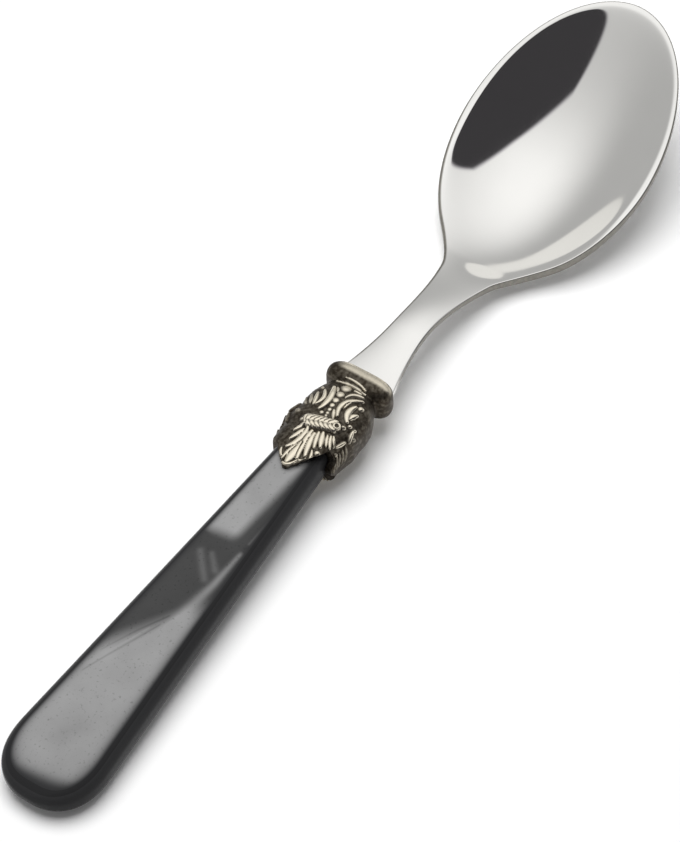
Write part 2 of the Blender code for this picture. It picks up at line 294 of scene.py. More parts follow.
class SteelBlank:
    """Shape of the steel: a notched tang, a waisted neck and an egg-shaped bowl in one stamping."""

    TOP_COLUMNS = 88
    UNDER_COLUMNS = 40
    NECK_ROWS = 60
    HEEL_ROWS = 80
    TIP_ROWS = 120
    WIDEST_FROM_TIP = 22.6 * MM
    PLAN_CORNER = 1.92
    NECK_WAIST_AT = 13.1 * MM
    NECK_FLARE = 16.0 * MM
    ROOT_WIDTH = 8.9 * MM
    HEEL_WIDTH = 9.9 * MM
    JOIN_CORNER = 6
    HEEL_SWEEP = 3.5 * MM
    SWEEP_BEFORE = 9.0 * MM
    SWEEP_AFTER = 2.0 * MM
    NECK_THICK = 2.2 * MM
    NECK_CROWN = 0.35 * MM
    NECK_ROUND = 0.3 * MM
    NECK_DROP = 3.8 * MM
    NECK_DROP_LENGTH = 19.5 * MM
    NECK_SET_DOWN = 0.25 * MM
    HOLLOW_RUN = 3.0 * MM
    HOLLOW_BACK = 23.5 * MM
    HOLLOW_POWER = 1.12
    RIM_SOFT = 0.02
    HEEL_SOFT = 0.32
    HEEL_SOFT_FROM = 5.0 * MM
    HEEL_SOFT_TO = 22.0 * MM
    TIP_RISE = 8.9 * MM
    TIP_SLOPE = 0.31
    BOWL_THICK = 1.1 * MM
    RIM_RISE = 0.45 * MM
    RIM_ROUND = 0.22 * MM
    RIM_DROP = 0.22 * MM
    EDGE_DULL = 0.24 * MM
    # On the upper face by the heel the dull band is widened on the left as a painted dark reflection
    EDGE_DULL_AND_SHADE_LEFT = 0.5 * MM
    EDGE_DULL_RIGHT = 0.08 * MM
    DULL_FADE_IN = 4.0 * MM
    EVEN_PAST_HEEL = 12.0 * MM
    EVEN_PAST_WIDEST = 6.0 * MM
    SIDE_BLEND = 3.0 * MM
    TANG_WIDTH = 2.8 * MM
    TANG_THICK = 1.8 * MM
    NOTCHES = 3
    NOTCH_DEPTH = 0.45 * MM
    NOTCH_LENGTH = 2.0 * MM

    def __init__(self, settings):
        self.s = settings
        self.waist = NECK_ROOT + self.NECK_WAIST_AT
        self.heel = NECK_ROOT + settings.neck_length
        self.tip = self.heel + settings.bowl_length
        self.widest = self.tip - self.WIDEST_FROM_TIP

    def width(self, u):
        """Width of the outline, with the corner between neck and bowl drawn out into a sweep."""
        before = smoothstep(u, self.heel - self.SWEEP_BEFORE, self.heel)
        after = smoothstep(u, self.heel + self.SWEEP_AFTER, self.widest)
        reach = self.HEEL_SWEEP * before * (1 - after)
        return sum(self.plain_width(u + reach * step / 4) for step in range(-4, 5)) / 9

    def plain_width(self, u):
        """Width of a waisted neck that meets an egg."""
        if u < self.waist:
            share = (self.waist - u) / self.NECK_WAIST_AT
            neck = lerp(self.s.neck_width, self.ROOT_WIDTH, share**2)
        else:
            share = min((u - self.waist) / self.NECK_FLARE, 1)
            neck = lerp(self.s.neck_width, self.HEEL_WIDTH, share**2)
        run = self.tip - self.widest if u > self.widest else self.widest - self.heel
        share = min(abs(u - self.widest) / run, 1)
        bowl = self.s.bowl_width * (1 - share**self.PLAN_CORNER) ** (1 / self.PLAN_CORNER)
        if u > self.widest:
            return bowl
        return (neck**self.JOIN_CORNER + bowl**self.JOIN_CORNER) ** (1 / self.JOIN_CORNER)

    def rim_height(self, u):
        """Height of the rim, which falls along the neck and rises to the tip."""
        heel = self.heel + self.HOLLOW_RUN / 2
        if u < heel:
            drop = smoothstep(u, heel - self.NECK_DROP_LENGTH, heel)
            return self.RIM_RISE - lerp(self.NECK_SET_DOWN, self.NECK_DROP, drop)
        run = self.tip - heel
        t = (u - heel) / run
        rise = (self.NECK_DROP + self.TIP_RISE) * t * t * (3 - 2 * t)
        return self.RIM_RISE - self.NECK_DROP + rise + self.TIP_SLOPE * run * (t**3 - t**2)

    def hollow(self, u, y, land, soft):
        """Share of the full depth in a dish that leaves a land inside the outline.

        It dies out softly at the heel.
        """
        run = self.tip - self.widest - land if u > self.widest else self.HOLLOW_BACK
        share = 1 - ((u - self.widest) / run) ** 2 - (y / (self.s.bowl_width / 2 - land)) ** 2
        heelward = smoothstep(self.widest - u, self.HEEL_SOFT_FROM, self.HEEL_SOFT_TO)
        blend = lerp(soft, self.HEEL_SOFT, heelward)
        return (share + np.sqrt(share * share + blend * blend)) / 2

    def inset(self, u, y):
        """Distance of a point from the outline, square to it."""
        step = 0.5 * MM * min(1, (self.tip - u) / MM)
        half = self.width(u) / 2
        slope = (self.width(u + step / 2) - self.width(u - step / 2)) / 2 / step
        return (half * half - y * y) / (2 * np.sqrt((half * slope) ** 2 + y * y) + 1e-9)

    def dulled_and_shaded(self, ring):
        """How far each point of a ring lies in the band along the edge that the buff hardly reaches.

        On the upper face, by the heel, the band is wider on the left as a painted dark reflection,
        and narrower on the right.
        """
        u, y = ring[0][0], np.array([point[1] for point in ring])
        if u >= self.tip:
            return np.ones(len(ring))
        reached = smoothstep(u, NECK_ROOT, NECK_ROOT + self.DULL_FADE_IN)
        even = smoothstep(u, self.heel + self.EVEN_PAST_HEEL, self.widest + self.EVEN_PAST_WIDEST)
        left = lerp(self.EDGE_DULL_AND_SHADE_LEFT, self.EDGE_DULL, even)
        right = lerp(self.EDGE_DULL_RIGHT, self.EDGE_DULL, even)
        upper = lerp(right, left, smoothstep(y, -self.SIDE_BLEND, self.SIDE_BLEND))
        band = np.where(np.arange(len(ring)) <= self.TOP_COLUMNS, upper, self.EDGE_DULL)
        return reached * (1 - smoothstep(self.inset(u, y), band / 2, band))

    def section(self, u):
        """A ring across the blank, rounded along its outline.

        It runs over the upper face from left to right and back below.
        """
        s = self.s
        half = self.width(u) / 2
        bowlness = smoothstep(u, self.waist, self.heel + self.HOLLOW_RUN)
        rim = self.rim_height(u)
        edge = lerp(s.neck_edge, s.rim_edge, bowlness)
        run = lerp(self.NECK_ROUND, self.RIM_ROUND, bowlness)
        drop = lerp(self.NECK_ROUND, self.RIM_DROP, bowlness)
        crown = self.NECK_CROWN * (1 - smoothstep(u, self.waist, self.heel))
        thick = lerp(self.NECK_THICK, self.BOWL_THICK, bowlness)

        def columns(count):
            y = half * np.cos(np.pi * np.arange(count + 1) / count)
            shy = np.clip(1 - self.inset(u, y) / run, 0, 1)
            return y, 1 - (y / half) ** 2, drop * (1 - np.sqrt(1 - shy * shy))

        y_top, arch, fall = columns(self.TOP_COLUMNS)
        dish = s.bowl_depth * self.hollow(u, y_top, s.rim_land, self.RIM_SOFT) ** self.HOLLOW_POWER
        top = rim - dish + crown * arch - fall
        y_under, arch, fall = columns(self.UNDER_COLUMNS)
        belly = s.bowl_depth * self.hollow(u, y_under, 0.0, self.RIM_SOFT)
        under = rim - edge - belly - (thick - edge) * arch + fall
        y = np.concatenate([y_top, y_under[::-1]])
        return np.stack([np.full(len(y), u), y, np.concatenate([top, under[::-1]])], 1)

    def tang_section(self, u, width):
        """The tang's bar, point for point with the neck's section so that the two skin together."""
        ring = self.section(self.waist)
        middle = (ring[:, 2].max() + ring[:, 2].min()) / 2
        ring[:, 1] *= width / self.s.neck_width
        ring[:, 2] = (ring[:, 2] - middle) * self.TANG_THICK / np.ptp(ring[:, 2])
        ring[:, 0] = u
        return ring

    def rings(self):
        """Rings from the end of the tang to the tip of the bowl."""
        rings = [[(TANG_END, 0, 0)], self.tang_section(TANG_END, self.TANG_WIDTH)]
        pitch = (SPIGOT_END - TANG_END) / (self.NOTCHES + 1)
        for notch in range(1, self.NOTCHES + 1):
            for offset, cut in ((-0.5, 0), (-0.25, self.NOTCH_DEPTH), (0.25, self.NOTCH_DEPTH), (0.5, 0)):
                u = TANG_END + pitch * notch + offset * self.NOTCH_LENGTH
                rings.append(self.tang_section(u, self.TANG_WIDTH - 2 * cut))
        rings.append(self.tang_section(NECK_ROOT, self.TANG_WIDTH))
        stations = list(np.linspace(NECK_ROOT, self.heel, self.NECK_ROWS, endpoint=False))
        stations += list(np.linspace(self.heel, self.widest, self.HEEL_ROWS, endpoint=False))
        turn = np.pi / 2 * np.arange(self.TIP_ROWS) / self.TIP_ROWS
        stations += list(lerp(self.widest, self.tip, np.sin(turn)))
        rings += [self.section(u) for u in stations]
        rings.append([(self.tip, 0, self.rim_height(self.tip) - self.s.rim_edge / 2)])
        return rings


def polished_steel(settings):
    """Mirror-polished stainless steel: it shows its surroundings almost unblurred.

    The buff leaves a faint haze, and it hardly reaches the trimmed edge.
    By the heel the dull band is widened on the left as a painted dark reflection.
    """
    material, tree = new_material("stainless_steel_mirror_polished")
    here = add(tree, "TexCoord")
    # Buffing haze: cloudy patches about 4 mm across
    haze = add(tree, "TexNoise", {"Scale": 1 / (4 * MM), "Detail": 3.0}, {"Vector": (here, "Object")})
    tone = add(tree, "Mix", two_shades(settings.steel, 0.96), {0: haze})
    rough = add(tree, "MapRange", {"To Min": 0.045, "To Max": 0.075}, {"Value": haze})
    # The trimmed edge is only tumbled: dull and mottled, in spots about 0.5 mm across.
    # By the heel its band is widened on the left as a painted dark reflection
    edge = add(tree, "Attribute", {"attribute_name": "dulled_and_shaded"})
    spots = add(tree, "TexNoise", {"Scale": 1 / (0.5 * MM), "Detail": 2.0}, {"Vector": (here, "Object")})
    mottle = add(tree, "Mix", two_shades(settings.edge, 0.45), {0: spots})
    trimmed = add(tree, "Mix", COLOURS, {0: (edge, "Fac"), 6: (tone, 2), 7: (mottle, 2)})
    finish = add(tree, "Mix", {3: 0.4}, {0: (edge, "Fac"), 2: rough})
    surface(tree, "BsdfPrincipled", {"Metallic": 1.0}, {"Base Color": (trimmed, 2), "Roughness": finish})
    return material


class SPOON_OT_polished_bowl(bpy.types.Operator):
    """Make the polished steel bowl with its neck and its hidden tang"""

    bl_idname = "spoon.polished_bowl"
    bl_label = "Polished bowl"

    def execute(self, context):
        settings = context.scene.spoon_bowl
        blank = SteelBlank(settings)
        rings = blank.rings()
        mesh = skin("steel_bowl", rings)
        mark(mesh, "dulled_and_shaded", np.concatenate([blank.dulled_and_shaded(ring) for ring in rings]))
        place(context, "steel_bowl", mesh, polished_steel(settings), "bowl_and_tang")
        return {"FINISHED"}


# Pearl handle


class PearlBar:
    """Shape of the handle: a soft-edged tapering bar with a round butt, a spigot and a drilled bore."""

    # Points round a ring, by quarters from the top by the right, the bottom and the left
    QUARTERS = (64, 24, 24, 64)
    BUTT_ROWS = 40
    BAR_ROWS = 180
    BUTT_START = 0.01 * MM
    CORNER = 3.2
    PLAN_ROUND = 9.2 * MM
    PLAN_CORNER = 2.3
    EDGE_ROUND = 12.0 * MM
    EDGE_CORNER = 2.5
    UNDERSIDE_CUT = 0.2 * MM
    # Width and thickness of the spigot and of the round bore with its drill point
    SPIGOT = (5.8 * MM, 5.4 * MM)
    BORE = (4.2 * MM, 4.2 * MM)
    BORE_CORNER = 2.0
    BORE_POINT = 1.2 * MM

    def __init__(self, settings):
        self.s = settings

    def section(self, u):
        """A ring across the bar, rounded off at the butt and flat along the underside."""
        s = self.s
        share = u / s.handle_length
        full = lerp(s.butt_thick, s.front_thick, share)
        wide = lerp(s.butt_width, s.front_width, share)
        half = wide / 2 * rounding(u, self.PLAN_ROUND, self.PLAN_CORNER)
        rise = full / 2 * rounding(u, self.EDGE_ROUND, self.EDGE_CORNER)
        ring = even_ring(half, half, rise, self.CORNER, self.QUARTERS)
        ring[:, 1] = np.maximum(ring[:, 1], self.UNDERSIDE_CUT - full / 2)
        return at(u, ring)

    def rings(self):
        """Rings from the butt to the end of the spigot and back into the bore."""
        rings = [[(self.BUTT_START, 0, 0)]]
        for turn in np.pi / 2 * np.arange(1, self.BUTT_ROWS + 1) / self.BUTT_ROWS:
            rings.append(self.section(lerp(self.BUTT_START, self.EDGE_ROUND, 1 - np.cos(turn))))
        for u in np.linspace(self.EDGE_ROUND, self.s.handle_length, self.BAR_ROWS)[1:]:
            rings.append(self.section(u))
        rings += tube(HANDLE_END, SPIGOT_END, *self.SPIGOT, self.CORNER, self.QUARTERS)
        rings += tube(SPIGOT_END, BORE_END, *self.BORE, self.BORE_CORNER, self.QUARTERS)
        rings.append([(BORE_END - self.BORE_POINT, 0, 0)])
        return rings


# The painted sheen fades out towards the butt between these distances from it, on a slant
SHEEN_FADE_START = 1.2 * MM
SHEEN_FADE_FULL = 3.8 * MM
SHEEN_FADE_SLANT = 0.2
# Streaks in the pearl, in millimetres: brightness, then along the streak u, y and half width
STREAKS = (
    (0.65, (28.0, -1.8, 0.8), (33.1, -2.2, 0.8), (38.4, -2.8, 0.5), (44.0, -3.0, 0.3)),
    (0.22, (41.6, 1.8, 0.5), (38.1, -1.3, 0.5)),
    (0.22, (42.0, 0.2, 0.4), (40.0, -1.7, 0.5)),
    (0.3, (46.0, -3.0, 0.15), (52.0, -3.2, 0.2), (57.0, -3.2, 0.1)),
    (-0.3, (18.2, 4.0, 0.12), (22.1, 2.4, 0.15), (25.6, 0.9, 0.15), (29.1, -0.5, 0.1)),
    (-0.2, (22.0, 3.8, 0.1), (27.0, 1.4, 0.15), (31.0, -0.8, 0.12)),
    (0.2, (20.0, 3.6, 0.1), (24.0, 2.0, 0.12), (28.0, 0.4, 0.1)),
    (-0.35, (43.8, 3.4, 1.0)),
    (-0.15, (8.0, 0.5, 1.6), (11.0, -1.0, 1.4)),
)


def pearl_layer(points):
    """How much of the pearl layer shows at points of the handle, from 0 in smoky dips to 1 face on."""
    u, y = points[:, 0] / MM, points[:, 1] / MM * np.where(points[:, 2] < 0, -1, 1)
    # A zone by the butt that ends on a slant, and one by the collar that leaves the right side smoky
    lower = 1 - smoothstep(u + 1.44 * y, 26.0, 32.0)
    upper = smoothstep(u + 0.15 * y, 44.4, 46.8) * (1 - smoothstep(-y - 0.08 * (u - 46), 0.2, 1.9))
    layer = lower + upper
    for bright, *path in STREAKS:
        away, width = off_path(u, y, np.array(path))
        layer = layer + bright * np.exp(-((away / width) ** 2))
    return np.clip(layer, 0, 1)


def pearl_resin(settings):
    """Black mother-of-pearl acrylic, cast in sheets and polished.

    The layers' pattern is their own; their grey sheen is painted into the colour where the surface
    faces up or down, and the cut sides are dark.
    """
    material, tree = new_material("acrylic_black_pearl_polished")
    layer = add(tree, "Attribute", {"attribute_name": "pearl"})
    here = add(tree, "TexCoord")
    split = add(tree, "SeparateXYZ", None, {"Vector": (here, "Normal")})
    upright = add(tree, "Math", {"operation": "ABSOLUTE"}, {0: (split, "Z")})
    # Painted sheen: the pearl colour shows where the surface faces up or down, the black on the sides
    flat = add(tree, "MapRange", SOFT | {"From Min": 0.9, "From Max": 0.994}, {"Value": upright})
    # Cloudy mottling about 5 mm across
    cloud = add(tree, "TexNoise", {"Scale": 1 / (5 * MM), "Detail": 4.0}, {"Vector": (here, "Object")})
    mottle = add(tree, "MapRange", NOISE | {"To Min": 0.92, "To Max": 1.06}, {"Value": cloud})
    ends = COLOURS | {6: shade(settings.smoke), 7: shade(settings.pearl)}
    sheet = add(tree, "Mix", ends, {0: (layer, "Fac")})
    clouded = add(tree, "VectorMath", {"operation": "SCALE"}, {0: (sheet, 2), "Scale": mottle})
    # A few fine dark specks, up to 0.4 mm across
    grain = add(tree, "TexNoise", {"Scale": 1 / (0.4 * MM), "Detail": 2.0}, {"Vector": (here, "Object")})
    dark = {"From Min": 0.61, "From Max": 0.75, "To Min": 1.0, "To Max": 0.7}
    speck = add(tree, "MapRange", dark, {"Value": grain})
    specked = add(tree, "VectorMath", {"operation": "SCALE"}, {0: clouded, "Scale": speck})
    # The painted sheen fades out towards the rounded butt
    sheen_fade = add(tree, "Attribute", {"attribute_name": "sheen_fade"})
    facing = add(tree, "Math", {"operation": "MULTIPLY"}, {0: flat, 1: (sheen_fade, "Fac")})
    # Painted shade: a darker line where the corner turns over to the cut side
    turn = add(tree, "Math", {"operation": "COMPARE", 1: 0.84, 2: 0.06}, {0: upright})
    corner = add(tree, "MapRange", {"To Min": 1.0, "To Max": 0.7}, {"Value": turn})
    side = add(tree, "VectorMath", {"operation": "SCALE", 0: settings.black}, {"Scale": corner})
    body = add(tree, "Mix", COLOURS, {0: facing, 6: side, 7: specked})
    polish = {"Roughness": 0.12, "IOR": 1.49, "Specular IOR Level": 0.04}
    surface(tree, "BsdfPrincipled", polish, {"Base Color": (body, 2)})
    return material


class SPOON_OT_pearl_handle(bpy.types.Operator):
    """Make the pearl resin handle with its spigot and bore"""

    bl_idname = "spoon.pearl_handle"
    bl_label = "Pearl handle"

    def execute(self, context):
        settings = context.scene.spoon_handle
        rings = PearlBar(settings).rings()
        mesh = skin("pearl_handle", rings)
        points = np.concatenate([np.asarray(ring, float) for ring in rings])
        mark(mesh, "pearl", pearl_layer(points))
        along = points[:, 0] + SHEEN_FADE_SLANT * points[:, 1]
        mark(mesh, "sheen_fade", smoothstep(along, SHEEN_FADE_START, SHEEN_FADE_FULL))
        place(context, "pearl_handle", mesh, pearl_resin(settings), "handle")
        return {"FINISHED"}


# Cast collar: strokes of the carving, in millimetres. A place is u and the distance right of the top


def sweep(height, width, start, bend, end):
    """A stroke that tapers to both ends: its height, and u, distance round and half width along it."""
    t = np.linspace(0, 1, 9)[:, None]
    start, bend, end = np.array((start, bend, end))
    line = (1 - t) * (1 - 2 * t) * start + 4 * t * (1 - t) * bend + t * (2 * t - 1) * end
    return height, np.concatenate([line, width * (0.7 + 0.45 * np.sin(np.pi * t))], 1)


def bead(height, radius, u, s):
    """A round stroke of one place."""
    return height, np.array([[u, s, radius]])


def hood():
    """Arched mouldings between the front ring and the drop of beads."""
    return [
        sweep(0.16, 0.16, (75.8, -1.4), (75.8, 0.4), (75.4, 2.1)),
        sweep(0.18, 0.2, (74.9, -2.4), (75.2, -0.1), (75.0, 2.3)),
        sweep(0.18, 0.18, (74.5, 0.8), (74.6, 1.3), (74.6, 1.9)),
        sweep(0.15, 0.22, (73.6, -1.3), (73.2, -1.0), (72.8, -0.8)),
    ]


def bead_drop():
    """Seven beads that hang in a row and grow smaller by a fifth each."""
    beads = []
    u, radius = 74.0, 0.85
    for place_in_row in range(7):
        beads.append(bead(radius / 2, radius, u, -0.2 + 0.08 * place_in_row))
        u -= 1.8 * radius
        radius *= 0.8
    return beads


def scrolls():
    """Leafy C-scrolls to the right of the drop."""
    return [
        sweep(0.36, 0.42, (69.1, 1.6), (71.3, 1.2), (73.3, 2.9)),
        sweep(0.26, 0.22, (70.7, 1.7), (71.4, 1.7), (72.0, 1.9)),
        sweep(0.28, 0.3, (72.4, 0.8), (73.6, 1.3), (74.1, 2.5)),
        sweep(0.34, 0.46, (69.1, 3.2), (70.4, 2.5), (71.8, 2.8)),
        sweep(0.34, 0.42, (69.8, 3.3), (70.3, 3.4), (70.8, 3.7)),
        bead(0.32, 0.5, 72.1, 3.5),
        sweep(0.24, 0.28, (69.7, 0.7), (69.1, 1.0), (68.4, 1.4)),
    ]


def blades():
    """A fan of leaf blades to the left of the drop, with beads round it."""
    return [
        sweep(0.34, 0.46, (68.9, -1.1), (71.0, -0.9), (73.2, -1.6)),
        sweep(0.28, 0.32, (69.4, -2.0), (70.7, -1.7), (72.0, -2.3)),
        sweep(0.28, 0.32, (69.2, -2.3), (70.2, -2.6), (71.2, -2.9)),
        sweep(0.24, 0.28, (69.2, -2.9), (69.9, -3.2), (70.6, -3.6)),
        sweep(0.2, 0.26, (68.9, -3.4), (69.4, -3.9), (70.1, -4.3)),
        bead(0.2, 0.32, 72.4, -3.0),
        bead(0.18, 0.34, 68.5, -0.5),
        bead(0.26, 0.5, 67.2, -3.6),
        bead(0.2, 0.3, 65.9, -1.9),
    ]


def crossbar():
    """A swag of paired leaflets between a curled end and a volute."""
    strokes = [
        sweep(0.2, 0.24, (67.0, -1.7), (67.5, -0.6), (67.9, 0.6)),
        sweep(0.2, 0.3, (66.9, -1.8), (66.2, -1.6), (65.6, -1.2)),
        bead(0.4, 0.4, 68.0, 3.4),
        bead(0.36, 0.38, 68.8, 3.9),
    ]
    for place_in_row in range(6):
        u, s = 66.0 + 0.22 * place_in_row, -1.4 + 0.6 * place_in_row
        strokes.append(sweep(0.24, 0.44, (u + 0.1, s), (u + 0.6, s + 0.15), (u + 1.0, s + 0.6)))
        strokes.append(sweep(0.24, 0.44, (u - 0.1, s + 0.2), (u - 0.4, s + 0.5), (u - 0.5, s + 1.1)))
    turn = np.linspace(-0.7, 1.2, 9) * np.pi
    volute = np.stack([67.4 + 0.42 * np.cos(turn), 2.6 + 0.42 * np.sin(turn), np.full(9, 0.21)], 1)
    return strokes + [(0.3, volute)]


def palmette():
    """Ribs that fan out from the crossbar to the tip over the handle, and beads along its edge."""
    ribs = (
        (0.32, (65.4, -1.2), (64.7, -1.5), (63.9, -1.8)),
        (0.38, (64.6, -0.8), (63.6, -1.1), (62.5, -1.5)),
        (0.44, (65.2, -0.5), (63.1, -0.4), (61.2, -1.2)),
        (0.32, (62.0, -0.2), (60.7, -0.6), (59.3, -0.7)),
        (0.62, (62.7, 0.2), (60.6, 0.1), (59.2, 0.1)),
        (0.44, (65.0, 0.3), (62.8, 0.4), (60.3, 1.0)),
        (0.44, (64.8, 0.8), (63.0, 1.1), (61.2, 1.7)),
        (0.36, (65.3, 1.2), (64.2, 1.5), (62.9, 2.0)),
        (0.42, (65.6, 1.7), (64.6, 2.1), (63.5, 2.6)),
        (0.26, (65.6, 2.4), (64.9, 2.7), (64.1, 3.1)),
        (0.28, (65.8, 2.8), (65.0, 3.2), (64.2, 3.7)),
        (0.24, (66.0, 3.1), (65.5, 3.5), (64.9, 4.0)),
    )
    edge = [
        sweep(0.3, 0.26, (58.8, -0.3), (58.9, 0.5), (60.0, 1.2)),
        sweep(0.3, 0.3, (60.2, 1.4), (60.3, 1.8), (60.8, 2.0)),
        sweep(0.24, 0.24, (61.2, 2.4), (61.8, 2.3), (62.4, 2.0)),
        bead(0.28, 0.46, 62.5, 2.8),
        sweep(0.22, 0.2, (59.6, -1.0), (60.1, -1.5), (60.7, -1.7)),
    ]
    return [sweep(0.32, width, *line) for width, *line in ribs] + edge


def flank(side):
    """Strap, chain of beads and ribbed leaf down one side: 1 on the right, -1 on the left."""
    ribs = [
        sweep(0.28, 0.22, (63.9 + step, side * 5.4), (63.7 + step, side * 6.5), (63.3 + step, side * 7.5))
        for step in (0.0, 0.6, 1.2, 1.8, 2.4)
    ]
    return ribs + [
        sweep(0.3, 0.28, (65.2, side * 4.3), (65.9, side * 4.6), (66.6, side * 4.8)),
        sweep(0.34, 0.3, (68.6, side * 4.6), (67.8, side * 4.9), (67.1, side * 5.3)),
        bead(0.34, 0.38, 67.9, side * 5.6),
        bead(0.3, 0.28, 68.9, side * 4.8),
        bead(0.28, 0.36, 64.5, side * 5.1),
    ]


# Middle line of the swag in millimetres, and the bar that it stands on
SWAG = np.array([(66.2, -1.2, 0.0), (67.4, 2.3, 0.0)])
SWAG_RISE = 0.35 * MM
SWAG_HALF = 0.6 * MM
SWAG_FOOT = 1.4 * MM


def carve(u, s):
    """Height of the round-backed strokes over the casting, and 1 on their backs to 0 between them."""
    height, crest, second = np.zeros_like(u), np.zeros_like(u), np.zeros_like(u)
    ornament = hood() + bead_drop() + scrolls() + blades() + crossbar() + palmette()
    for top, path in ornament + flank(1) + flank(-1):
        away, width = off_path(u, s, path * MM)
        back = np.clip(1 - (away / width) ** 2, 0, 1) ** 0.6
        height = np.where(back > crest, back * top * MM, height)
        second = np.maximum(second, np.minimum(crest, back))
        crest = np.maximum(crest, back)
    # A groove where two strokes meet
    parted = smoothstep(crest - second, 0.0, 0.2)
    # The swag stands on a raised bar
    away, _ = off_path(u, s, SWAG * MM)
    bar = SWAG_RISE * (1 - smoothstep(away, SWAG_HALF, SWAG_FOOT))
    return bar + height * lerp(0.5, 1, parted), crest * lerp(0.15, 1, parted)


class CastCollar:
    """Shape of the collar: a moulded front ring, a waist, a carved bulb and leaves over the handle."""

    # Points round a ring, by quarters from the top by the right, the bottom and the left
    QUARTERS = (96, 48, 48, 96)
    ROWS = 150
    LEAF_ROWS = 70
    INNER_ROWS = 12
    STEP = 0.1 * MM
    SHOULDER = 64.7 * MM
    LEAF_END = 57.9 * MM
    LEAF_MIDDLE = 62.0 * MM
    PALMETTE_HALF = 4.2 * MM
    BELOW_HALF = 3.4 * MM
    LEAF_THICK = 1.0 * MM
    TIP_THICK = 0.6 * MM
    LEAF_BLEND = 65.2 * MM
    GAP = 0.15 * MM
    # Width and thickness of the chamber and of the tang's slot
    CHAMBER = (6.1 * MM, 5.7 * MM)
    SLOT = (3.1 * MM, 2.1 * MM)
    SLOT_CORNER = 3.6
    # Stations along the bulb in millimetres: u, reach to the left, to the right, and up and down
    BULB = (
        (64.7, 4.6, 4.6, 4.2),
        (66.4, 5.15, 5.0, 4.15),
        (67.4, 5.15, 5.3, 4.1),
        (69.2, 4.6, 5.25, 3.9),
        (70.4, 4.75, 5.35, 3.9),
        (72.0, 4.6, 5.2, 3.75),
        (73.4, 4.2, 4.6, 3.35),
        (74.6, 3.8, 3.9, 2.8),
        (75.3, 3.8, 3.9, 2.4),
    )
    BULB_CORNER = 3.0
    # The front ring is a half-round moulding over the waist
    RING_MIDDLE = 76.85 * MM
    RING_HALF = 1.65 * MM
    RING_OUT = 1.3 * MM
    RING_UP = 0.8 * MM

    def __init__(self, bar):
        self.bar = bar

    def over_handle(self, u, clearance):
        """Reach of the handle's bar at u, grown by a clearance."""
        share = u / self.bar.s.handle_length
        half = lerp(self.bar.s.butt_width, self.bar.s.front_width, share) / 2 + clearance
        rise = lerp(self.bar.s.butt_thick, self.bar.s.front_thick, share) / 2 + clearance
        return half, half, rise, self.bar.CORNER

    def shape(self, u):
        """Reach of the casting at u before carving."""
        bulb = np.array(self.BULB)
        left, right, up = (np.interp(u / MM, bulb[:, 0], bulb[:, k]) * MM for k in (1, 2, 3))
        ring = math.sqrt(max(0, 1 - ((u - self.RING_MIDDLE) / self.RING_HALF) ** 2))
        out = self.RING_OUT * ring
        cast = (left + out, right + out, up + self.RING_UP * ring, self.BULB_CORNER + ring)
        tipward = np.clip((HANDLE_END - u) / (HANDLE_END - self.LEAF_END), 0, 1)
        leaf = self.over_handle(u, self.GAP + lerp(self.LEAF_THICK, self.TIP_THICK, tipward))
        blend = smoothstep(u, HANDLE_END, self.LEAF_BLEND)
        return [lerp(one, two, blend) for one, two in zip(leaf, cast)]

    def leaf_end(self, s):
        """Where the scalloped leaves end, by the distance round from the top, both in millimetres."""
        # The palmette draws back from its tip in lobes of 0.9 mm, and the sides are cut shorter
        off = np.abs(s - 0.1)
        palmette = 58.5 + np.where(s > 0.1, 1.05 * off**1.25, 0.8 * off**1.15)
        palmette -= 0.25 * np.abs(np.sin(np.pi * off / 0.9))
        side = np.where(s > 0, 64.0 - 1.1 * smoothstep(s, 5.5, 7.2), 62.5)
        return np.minimum(palmette, side)

    def round_from_top(self, points):
        """Distance round each ring to the right of its top centre, or of its bottom centre below."""
        step = np.hypot(*np.moveaxis(np.roll(points, -1, 1) - points, 2, 0))
        run = np.concatenate([np.zeros((len(points), 1)), np.cumsum(step, 1)], 1)
        quarters = np.concatenate([[0], np.cumsum(self.QUARTERS)])
        out = run[:, :-1].copy()
        half, right, left = run[:, [quarters[2]]], quarters[1], quarters[3]
        out[:, right:left] = half - out[:, right:left]
        out[:, left:] = out[:, left:] - run[:, [-1]]
        return out

    def grid(self):
        """The outside before carving: u, places across the axis and distances round, all as grids."""
        table = np.arange(self.LEAF_END - self.STEP, COLLAR_FRONT + self.STEP / 2, self.STEP)
        sizes = np.array([self.shape(u) for u in table])
        kernel = np.hanning(7) / np.hanning(7).sum()
        sizes = np.stack([np.convolve(np.pad(x, 3, mode="edge"), kernel, "valid") for x in sizes.T], 1)
        rings = np.array([even_ring(*size, self.QUARTERS) for size in sizes])
        around = self.round_from_top(rings)
        at_leaf = around[np.searchsorted(table, self.LEAF_MIDDLE)]
        # The palmette below is half as wide as the one on top
        half = self.PALMETTE_HALF
        below = (rings[0, :, 1] < 0) & (np.abs(at_leaf) < half)
        at_leaf = np.where(below, np.clip(2 * at_leaf, -half, half), at_leaf)
        ends = self.leaf_end(at_leaf / MM) * MM
        rows = np.linspace(COLLAR_FRONT, self.SHOULDER, self.ROWS, endpoint=False)
        rows = np.repeat(rows[:, None], len(ends), 1)
        leaf = lerp(self.SHOULDER, ends[None, :], np.linspace(0, 1, self.LEAF_ROWS)[:, None])
        u = np.concatenate([rows, leaf])
        place_in = np.clip((u - table[0]) / self.STEP, 0, len(table) - 1.001)
        low = place_in.astype(int)
        share = (place_in - low)[..., None]
        column = np.arange(u.shape[1])[None, :]
        across = lerp(rings[low, column], rings[low + 1, column], share)
        s = lerp(around[low, column], around[low + 1, column], share[..., 0])
        return u, across, s

